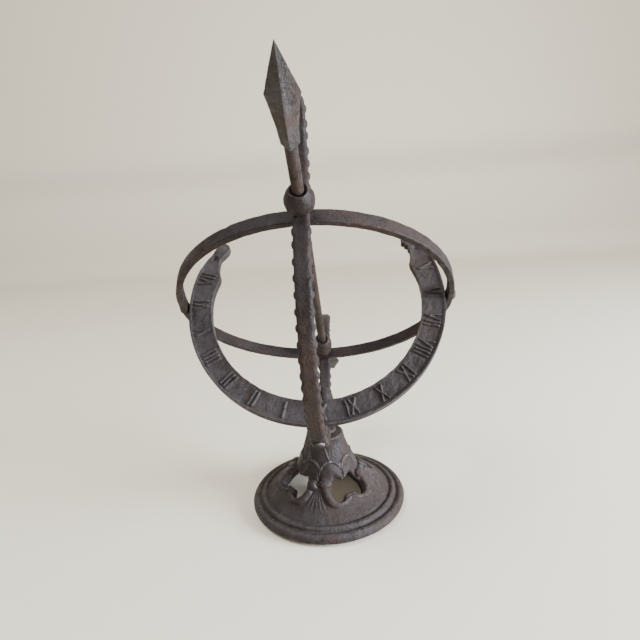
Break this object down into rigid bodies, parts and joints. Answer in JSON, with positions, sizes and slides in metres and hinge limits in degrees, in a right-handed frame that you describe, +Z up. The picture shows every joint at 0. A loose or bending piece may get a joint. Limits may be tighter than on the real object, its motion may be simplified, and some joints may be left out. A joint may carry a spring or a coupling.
{
  "type": "armillary sphere",
  "caption": "Small cast-iron tabletop armillary sphere: plain ring, beaded meridian arc and hour band with Roman figures round a turning arrow, on a pierced bell foot.",
  "frame": {"origin": "middle of the foot's underside, on the surface that the sphere stands on", "axes": "+Z up along the stem; the arrow's point leans towards -Y; +X is the side of the morning hours"},
  "size_m": [0.1558, 0.2197, 0.2234],
  "materials": {
    "foot_casting": "sand-cast iron with a brown-black rust patina",
    "ring_castings": "sand-cast iron with a brown-black rust patina",
    "hour_band_casting": "sand-cast iron with a grey-brown patina, figures rubbed lighter",
    "small_castings": "fine-cast iron, dark grey-brown",
    "rod": "dark drawn iron rod",
    "rivets": "peened iron, worn on the crown",
    "fixings": "dull plain steel"
  },
  "bodies": {
    "foot": {"foot": "foot_casting"},
    "sphere": {"stem_bolt": "fixings", "stem_washer": "fixings", "stem_nut": "fixings", "bud_cap_nut": "small_castings", "meridian_arc": "ring_castings", "north_boss": "small_castings", "south_boss": "small_castings", "plain_ring": "ring_castings", "hour_band": "hour_band_casting", "hour_numerals": "hour_band_casting", "side_rivets": "rivets", "band_rivet": "rivets"},
    "arrow": {"arrow_rod": "rod", "arrowhead": "small_castings", "arrow_feather": "small_castings"}
  },
  "joints": [
    {"name": "sphere_turn", "type": "hinge", "parent": "foot", "child": "sphere", "pos_m": [0, 0, 0.0432], "axis": [0, 0, 1], "continuous": true},
    {"name": "arrow_spin", "type": "hinge", "parent": "sphere", "child": "arrow", "pos_m": [0, 0, 0.1235], "axis": [0, -0.7547, 0.6561], "continuous": true}
  ]
}
